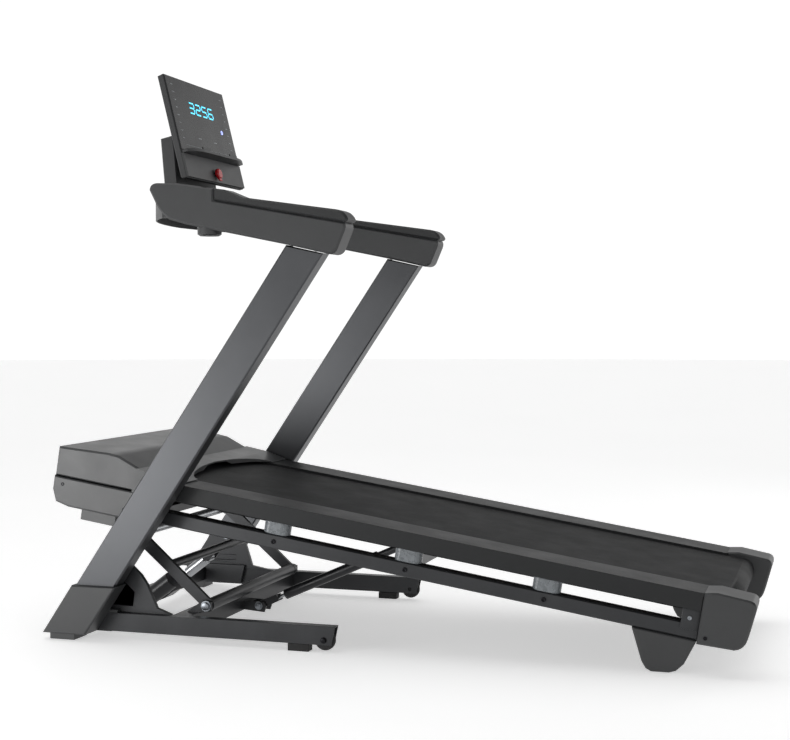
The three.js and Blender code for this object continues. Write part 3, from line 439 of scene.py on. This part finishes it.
def dressNode(name, node):
    material, edge = next(value for key, value in family.items() if name.startswith(key))
    node.data.materials.clear()
    node.data.materials.append(material)
    node.data.polygons.foreach_set("use_smooth", [True] * len(node.data.polygons))
    weld = node.modifiers.new("Weld", "WELD")
    weld.merge_threshold = 0.00002
    flat = node.modifiers.new("Flatten", "DECIMATE")
    flat.decimate_type = "DISSOLVE"
    flat.angle_limit = math.radians(0.6)
    if edge:
        soft = node.modifiers.new("Soft edges", "BEVEL")
        soft.width = edge / 1000
        soft.segments = 3
        soft.limit_method = "ANGLE"
        soft.angle_limit = math.radians(38)
        soft.miter_outer = "MITER_ARC"
    shade = node.modifiers.new("Shading", "WEIGHTED_NORMAL")
    shade.keep_sharp = True
    shade.weight = 80


for name, node in frame["nodes"].items():
    dressNode(name, node)

print("treadmill: frames of reference")

deckSlope = 8.9  # degrees, as the deck stands at rest
displayLean = 14.1
pinToGlass = (0.035, 0, -0.095)  # from the tilt pin to the foot of the glass, in the display's own frame
joints = {joint["name"]: joint for joint in frame["record"]["behaviour"]["joints"]}
deckFrame = Matrix.Translation(joints["fold"]["pos_m"]) @ Matrix.Rotation(math.radians(deckSlope), 4, "Y")
displayTurn = Matrix.Rotation(math.radians(-displayLean), 4, "Y")
displayFoot = Vector(joints["display_tilt"]["pos_m"]) + displayTurn @ Vector(pinToGlass)
displayFrame = Matrix.Translation(displayFoot) @ displayTurn

print("treadmill: read-out")

# heights are up the face from the foot of the glass, all in metres
readout = {"digits": "3256", "height": 0.029, "width": 0.030, "step": 0.041, "bar": 0.0036,
           "middle": (0.004, 0.208), "digitLean": 0.1, "proud": 0.0003,
           "icon": (0.118, 0.160), "iconSize": 0.006,
           "keyColumns": (-0.158, 0.158), "keyRows": 8, "keyLow": 0.112, "keyStep": 0.0215,
           "keySize": (0.013, 0.0022), "lowerKeys": (0.05, 0.122), "lowerKeySize": (0.02, 0.003),
           "lineHeight": 0.094, "lineSize": (0.3, 0.0012)}
# lit bars of each digit: top, upper left, upper right, middle, lower left, lower right, bottom
litBars = {"2": "1011101", "3": "1011011", "5": "1101011", "6": "1101111"}


def glassBar(name, middle, wide, tall, lean=0.0):
    proud = readout["proud"]
    bar = addBox(name, (0, -wide / 2, -tall / 2), (proud, wide / 2, tall / 2))
    roundOff(bar, min(wide, tall) * 0.38, 2, 60)
    across = middle[0] + lean * (middle[1] - readout["middle"][1])
    bar.data.transform(Matrix.Translation((0, across, middle[1])))
    return bar


def makeDigits():
    wide, tall, thick = readout["width"], readout["height"], readout["bar"]
    across, up = wide - thick * 1.2, tall / 2 - thick * 1.1
    spots = [(0, tall / 2, across, thick), (-wide / 2, tall / 4, thick, up), (wide / 2, tall / 4, thick, up),
             (0, 0, across, thick), (-wide / 2, -tall / 4, thick, up), (wide / 2, -tall / 4, thick, up),
             (0, -tall / 2, across, thick)]
    bars = []
    first = readout["middle"][0] - readout["step"] * (len(readout["digits"]) - 1) / 2
    for place, digit in enumerate(readout["digits"]):
        for lit, (y, z, w, h) in zip(litBars[digit], spots):
            if lit == "1":
                middle = (first + place * readout["step"] + y, readout["middle"][1] + z)
                bars.append(glassBar("bar", middle, w, h, readout["digitLean"]))
    digits = joinAll("readoutDigits", bars)
    digits.data.transform(displayFrame)
    hand(digits, "display", cyanLamp)


def makeIcon():
    icon = addRound("readoutIcon", (0, 0, 0), readout["iconSize"], readout["proud"] * 2, "X", 24)
    hole = addRound("hole", (0, 0, 0), readout["iconSize"] * 0.45, 0.01, "X", 24)
    cutWith(icon, hole)
    icon.data.transform(displayFrame @ Matrix.Translation((0, *readout["icon"])))
    hand(icon, "display", blueLamp)


def makeKeyMarks():
    wide, tall = readout["keySize"]
    marks = [glassBar("mark", (column, readout["keyLow"] + row * readout["keyStep"]), wide, tall)
             for column in readout["keyColumns"] for row in range(readout["keyRows"])]
    away, height = readout["lowerKeys"]
    marks += [glassBar("mark", (side * away, height), *readout["lowerKeySize"]) for side in (-1, 1)]
    marks.append(glassBar("mark", (0, readout["lineHeight"]), *readout["lineSize"]))
    keys = joinAll("keyMarks", marks)
    keys.data.transform(displayFrame)
    hand(keys, "display", keyInk)


makeDigits()
makeIcon()
makeKeyMarks()

print("treadmill: display back and mast")

ventSizes = {"count": 7, "wide": 0.09, "tall": 0.004, "step": 0.009, "low": 0.165, "back": -0.0212,
             "away": 0.11, "proud": 0.0025, "sunk": 0.001, "edge": 0.0008}
gasketSizes = {"front": -0.690, "rear": -0.6405, "half": 0.1345, "low": 1.1825, "top": 1.188,
               "rim": 0.0025, "dish": 0.002, "edge": 0.0012}


def makeBackVents():
    slats = []
    for side in (-1, 1):
        for row in range(ventSizes["count"]):
            low = ventSizes["low"] + row * ventSizes["step"]
            middle = side * ventSizes["away"]
            slat = addBox("slat", (ventSizes["back"] - ventSizes["proud"], middle - ventSizes["wide"] / 2, low),
                          (ventSizes["back"] + ventSizes["sunk"], middle + ventSizes["wide"] / 2,
                           low + ventSizes["tall"]))
            roundOff(slat, ventSizes["edge"], 2)
            slats.append(slat)
    vents = joinAll("displayBackLouvres", slats)
    vents.data.transform(displayFrame)
    hand(vents, "display", shellPlastic)


def makeMastGasket():
    size = gasketSizes
    gasket = addBox("mastGasket", (size["front"], -size["half"], size["low"]),
                    (size["rear"], size["half"], size["top"]))
    editFaces(gasket, lambda face: face.normal.z > 0.9)
    bpy.ops.mesh.inset(thickness=size["rim"])
    bpy.ops.transform.translate(value=(0, 0, -size["dish"]))
    bpy.ops.object.mode_set(mode="OBJECT")
    roundOff(gasket, size["edge"], 2)
    hand(gasket, "base", blackRubber)


makeBackVents()
makeMastGasket()

print("treadmill: bolts and screws")


def hexBolt(size):
    # a washer with a hexagon head on it, standing out along +Y from the origin
    washer = addRound("washer", (0, 0.0006, 0), size * 1.25, 0.0014, "Y", 32)
    head = addRound("head", (0, 0.0012 + size * 0.32, 0), size, size * 0.64, "Y", 6)
    roundOff(head, size * 0.09, 2, 30)
    return joinAll("hexBolt", [head, washer])


def socketScrew(size):
    # a low round head with a hexagon socket, standing out along +Y from the origin
    head = addRound("socketScrew", (0, size * 0.25, 0), size, size * 0.6, "Y", 28)
    cutWith(head, addRound("socket", (0, size * 0.5, 0), size * 0.5, size * 0.7, "Y", 6))
    roundOff(head, size * 0.12, 2, 40)
    return head


def spread(name, template, body, spots, place, finish):
    # spots: x or u, distance from the middle, z or w; one bolt on each side, facing out or in
    made = []
    for side in (-1, 1):
        for index, (x, y, z, outward) in enumerate(spots):
            turn = Matrix.Scale(side * outward, 4, (0, 1, 0))
            made.append(copyOf(template, "one", place @ Matrix.Translation((x, side * y, z)) @ turn))
    whole = joinAll(name, made)
    bpy.data.objects.remove(template)
    hand(whole, body, finish)
    return whole


wheel = joints["wheel_left_spin"]["pos_m"]
liftPin = joints["incline"]["pos_m"]
strutPin = joints["strut_swing"]["pos_m"]
still = Matrix.Identity(4)
# how far each faced surface is from the middle of the machine, and where the fasteners sit on it
bolts = {"railFace": 0.384, "lugFace": 0.312, "cheekFace": 0.024, "guideBracket": (-0.719, 0.3535, 0.168),
         "cushions": (0.400, 0.751, 1.102), "tubeFace": 0.342, "tubeMiddle": 0.0655,
         "hood": ((-0.020, 0.3505, 0.068), (-0.205, 0.3505, 0.100)), "endCap": (1.490, 0.372, 0.062)}
# name, fastener, body, places with 1 for facing out and -1 for facing in, frame, finish
fasteners = [
    ("wheelAxleBolts", hexBolt, 0.0065, "base", [(wheel[0], bolts["railFace"], wheel[2], 1)], still,
     blackOxide),
    ("liftPivotBolts", hexBolt, 0.011, "base", [(liftPin[0], bolts["lugFace"], liftPin[2], 1)], still,
     zincPlate),
    ("strutBracketBolts", hexBolt, 0.009, "base", [(strutPin[0], bolts["cheekFace"], strutPin[2], 1)], still,
     zincPlate),
    ("guideBracketBolts", hexBolt, 0.0095, "base", [(*bolts["guideBracket"], -1)], still, zincPlate),
    ("cushionBolts", socketScrew, 0.006, "deck",
     [(u, bolts["tubeFace"], bolts["tubeMiddle"], 1) for u in bolts["cushions"]], deckFrame, blackOxide),
    ("hoodScrews", socketScrew, 0.0045, "deck", [(*place, 1) for place in bolts["hood"]], deckFrame,
     blackOxide),
    ("endCapScrews", socketScrew, 0.0045, "deck", [(*bolts["endCap"], 1)], deckFrame, blackOxide),
]
for name, make, size, body, spots, place, finish in fasteners:
    spread(name, make(size), body, spots, place, finish)

print("treadmill: tail plates, axle nuts and cup liners")


tailPlate = {"from": 1.428, "to": 1.4715, "inner": 0.350, "outer": 0.3545, "low": 0.070, "high": 0.1198,
             "edge": 0.0015, "screw": (1.447, 0.098), "screwSize": 0.005}
axleNut = {"away": 0.3225, "size": 0.0195, "thick": 0.010, "edge": 0.0014}
cupLiner = {"lift": 0.0065, "radius": 0.0228, "thick": 0.002, "rings": 3, "ringWide": 0.003,
            "ringGap": 0.0012, "ringDeep": 0.0009}


def makeTailPlates():
    size = tailPlate
    plates = []
    for side in (-1, 1):
        ends = sorted((side * size["inner"], side * size["outer"]))
        plate = addBox("plate", (size["from"], ends[0], size["low"]), (size["to"], ends[1], size["high"]))
        roundOff(plate, size["edge"], 2)
        plates.append(plate)
    whole = joinAll("tailPlates", plates)
    whole.data.transform(deckFrame)
    hand(whole, "deck", powderCoat)
    along, height = size["screw"]
    spread("tailPlateScrews", socketScrew(size["screwSize"]), "deck", [(along, size["outer"], height, 1)],
           deckFrame, zincPlate)


def makeAxleNuts():
    axle = Vector(joints["fold"]["pos_m"])
    nuts = []
    for side in (-1, 1):
        nut = addRound("nut", (axle.x, side * axleNut["away"], axle.z), axleNut["size"], axleNut["thick"],
                       "Y", 6)
        roundOff(nut, axleNut["edge"], 2, 30)
        nuts.append(nut)
    hand(joinAll("foldAxleNuts", nuts), "axle", zincPlate)


def makeCupLiners():
    size = cupLiner
    liners = []
    for side in ("left", "right"):
        low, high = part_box("cup_holder_" + side)
        middle = [(a + b) / 2 for a, b in zip(low, high)]
        liner = addRound("liner", (middle[0], middle[1], low[2] + size["lift"]), size["radius"], size["thick"],
                         "Z", 40)
        for ring in range(size["rings"]):
            editFaces(liner, lambda face: face.normal.z > 0.9 and len(face.vertices) > 8)
            bpy.ops.mesh.inset(thickness=size["ringWide"])
            bpy.ops.mesh.inset(thickness=size["ringGap"])
            bpy.ops.transform.translate(value=(0, 0, size["ringDeep"] if ring % 2 else -size["ringDeep"]))
            bpy.ops.object.mode_set(mode="OBJECT")
        liners.append(liner)
    hand(joinAll("cupLiners", liners), "base", blackRubber)


makeTailPlates()
makeAxleNuts()
makeCupLiners()

print("treadmill: studio")

studio = {"floorRadius": 30.0, "floor": "#f4f4f4", "floorGlow": 0.47,
          "wall": 1.05, "wallTop": 0.27, "wallFade": 0.2, "ceiling": 0.12,
          "sunPower": 0.85, "sunSpread": 70, "sunFrom": (-0.25, 0.35, 1.0),
          "cameraPlace": (1.11734, -3.81299, 0.81644), "cameraDown": 1.81, "cameraTurn": 17.272,
          "lens": 67.58, "sensor": 36}
# each softbox: its place, what it points at, its width and height, and its power in watts
lamps = {
    "lowSoftbox": ((-1.9, -2.1, 0.35), (-0.7, -0.4, 0.25), (1.2, 0.7), 18),
    "topSoftbox": ((-0.4, -0.6, 3.2), (-0.3, 0.0, 0.8), (2.4, 1.6), 9),
    "rearSoftbox": ((2.4, 2.8, 1.8), (0.2, 0.0, 0.6), (1.6, 1.6), 12),
}


def makeFloor():
    dropSelection()
    bpy.ops.mesh.primitive_circle_add(vertices=96, radius=studio["floorRadius"], fill_type="NGON")
    floor = bpy.context.object
    floor.name = "studioFloor"
    material, tree, shader, where = startFinish("paleFloor", studio["floor"], IOR=1.2)
    addTexture(tree, shader, where, 30.0, 0.01, ("#f1f1f1", "#f7f7f7"), (0.7, 0.8), cloud=1.2)
    shader.inputs["Emission Color"].default_value = linearColour("#ffffff")
    shader.inputs["Emission Strength"].default_value = studio["floorGlow"]
    floor.data.materials.append(material)


def makeSky():
    # a white cyclorama all round up to a little above the horizon, with a dim ceiling over it
    world = bpy.data.worlds.new("studioSky")
    bpy.context.scene.world = world
    world.use_nodes = True
    tree = world.node_tree
    room = tree.nodes["Background"]
    room.inputs["Color"].default_value = linearColour("#ffffff")
    towards = addNode(tree, "TexCoord").outputs["Generated"]
    height = addNode(tree, "SeparateXYZ", {}, {0: towards}).outputs["Z"]
    glow = addNode(tree, "MapRange", {"From Min": studio["wallTop"],
                                      "From Max": studio["wallTop"] + studio["wallFade"],
                                      "To Min": studio["wall"], "To Max": studio["ceiling"]},
                   {"Value": height})
    tree.links.new(glow.outputs["Result"], room.inputs["Strength"])


def makeLights():
    sun = bpy.data.lights.new("softSun", "SUN")
    sun.energy = studio["sunPower"]
    sun.angle = math.radians(studio["sunSpread"])
    sunLamp = bpy.data.objects.new("softSun", sun)
    bpy.context.scene.collection.objects.link(sunLamp)
    sunLamp.rotation_euler = (-Vector(studio["sunFrom"])).to_track_quat("-Z", "Y").to_euler()
    for name, (place, target, size, power) in lamps.items():
        light = bpy.data.lights.new(name, "AREA")
        light.shape = "RECTANGLE"
        light.size, light.size_y = size
        light.energy = power
        lamp = bpy.data.objects.new(name, light)
        bpy.context.scene.collection.objects.link(lamp)
        lamp.location = place
        lamp.rotation_euler = (Vector(target) - Vector(place)).to_track_quat("-Z", "Y").to_euler()


def makeCamera():
    lens = bpy.data.cameras.new("camera")
    lens.lens = studio["lens"]
    lens.sensor_width = studio["sensor"]
    camera = bpy.data.objects.new("camera", lens)
    bpy.context.scene.collection.objects.link(camera)
    camera.location = studio["cameraPlace"]
    camera.rotation_euler = (math.radians(90 - studio["cameraDown"]), 0, math.radians(studio["cameraTurn"]))
    bpy.context.scene.camera = camera


makeFloor()
makeSky()
makeLights()
makeCamera()
bpy.context.scene.view_settings.view_transform = "Standard"
